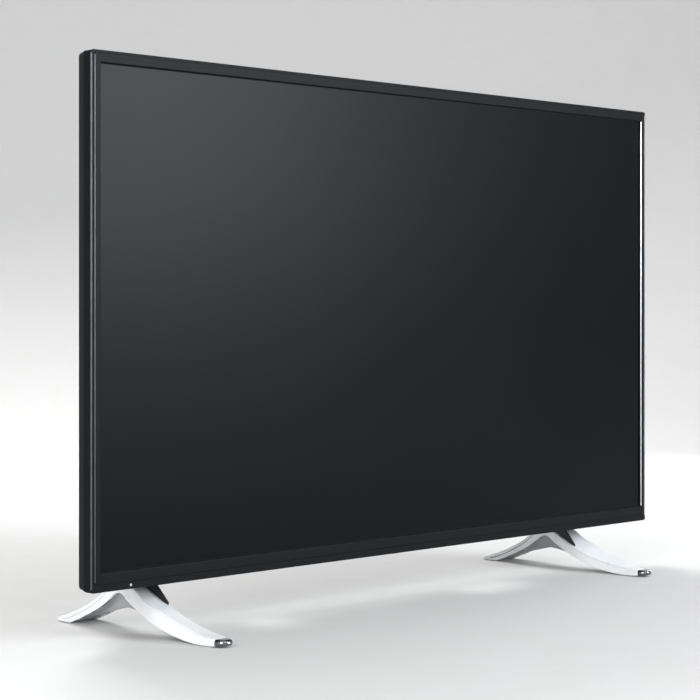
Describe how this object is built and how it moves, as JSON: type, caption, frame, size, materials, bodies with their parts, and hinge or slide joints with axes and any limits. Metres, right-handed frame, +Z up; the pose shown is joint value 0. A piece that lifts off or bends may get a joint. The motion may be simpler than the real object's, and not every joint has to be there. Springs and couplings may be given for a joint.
{
  "type": "flat screen television",
  "caption": "Slim-bezel flat screen television on two chromed arched feet, with backlight, boards, terminals, speakers and a rear rocker switch inside a wall-mountable case.",
  "frame": {"origin": "on the floor, midway between the feet and midway along their length", "axes": "+X to the right seen from the front, +Y to the back, +Z up; the screen faces -Y"},
  "size_m": [0.97, 0.28, 0.6277],
  "materials": {
    "bezel_plastic": "satin black textured ABS",
    "cover_plastic": "fine grained charcoal ABS",
    "gasket_foam": "black foam",
    "screen_glass": "dark polarised front glass",
    "frame_plastic": "black moulded frame",
    "optical_film": "milky film",
    "reflector": "white foamed sheet",
    "lens_clear": "clear moulded lens",
    "pan_steel": "zinc coated pressed steel",
    "board_green": "solder mask green",
    "board_tan": "phenolic board",
    "film_amber": "polyimide film",
    "ribbon_white": "flat ribbon",
    "heat_sink": "extruded aluminium",
    "socket_metal": "tin plated steel",
    "socket_black": "black moulded socket",
    "core_block": "wound transformer",
    "capacitor": "sleeved can",
    "speaker_box": "black moulded box",
    "speaker_cone": "coated paper",
    "lens_red": "smoked infrared window",
    "switch_plastic": "satin black button",
    "steel": "zinc plated steel",
    "brass": "threaded brass",
    "foot_chrome": "bright chrome plated",
    "foot_grey": "grey moulded core",
    "foot_black": "black glass filled neck",
    "pad_rubber": "soft black rubber"
  },
  "bodies": {
    "television": {"front_bezel": "bezel_plastic", "panel_gasket": "gasket_foam", "lcd_cell": "screen_glass", "middle_frame": "frame_plastic", "brightness_film": "optical_film", "diffuser_film": "optical_film", "diffuser_plate": "optical_film", "reflector_sheet": "reflector", "lamp_bars": "board_green", "lamp_lenses": "lens_clear", "back_pan": "pan_steel", "source_boards": "board_green", "drive_films": "film_amber", "timing_board": "board_green", "panel_ribbon": "ribbon_white", "main_board": "board_green", "main_heat_sink": "heat_sink", "tuner_can": "socket_metal", "hdmi_socket_1": "socket_metal", "hdmi_socket_2": "socket_metal", "usb_socket_1": "socket_metal", "usb_socket_2": "socket_metal", "card_slot": "socket_metal", "headphone_jack": "socket_black", "network_socket": "socket_metal", "antenna_socket": "socket_metal", "audio_jacks": "socket_black", "power_board": "board_tan", "power_transformer": "core_block", "power_capacitors": "capacitor", "power_heat_sink": "heat_sink", "mains_inlet": "socket_black", "speaker_box_left": "speaker_box", "speaker_box_right": "speaker_box", "speaker_cone_left": "speaker_cone", "speaker_cone_right": "speaker_cone", "wireless_module": "board_green", "infrared_board": "board_green", "infrared_lens": "lens_red", "switch_board": "board_green", "switch_housing": "switch_plastic", "rear_cover": "cover_plastic", "wall_mount_posts": "brass", "cover_screws": "steel", "board_screws": "steel", "left_foot": "foot_chrome", "right_foot": "foot_chrome", "left_foot_core": "foot_grey", "right_foot_core": "foot_grey", "left_foot_neck": "foot_black", "right_foot_neck": "foot_black", "foot_screws": "steel", "foot_pads": "pad_rubber"},
    "plunger": {"switch_plunger": "switch_plastic", "rocker_pin": "steel"},
    "rocker": {"control_rocker": "switch_plastic"}
  },
  "joints": [
    {"name": "switch_press", "type": "slide", "parent": "television", "child": "plunger", "axis": [0, -1, 0], "range_m": [0, 0.0008], "stiffness_N_per_m": 3000},
    {"name": "switch_rock", "type": "hinge", "parent": "plunger", "child": "rocker", "pos_m": [-0.372, 0.025, 0.2045], "axis": [1, 0, 0], "range_deg": [-5, 5], "stiffness_Nm_per_rad": 0.3}
  ]
}
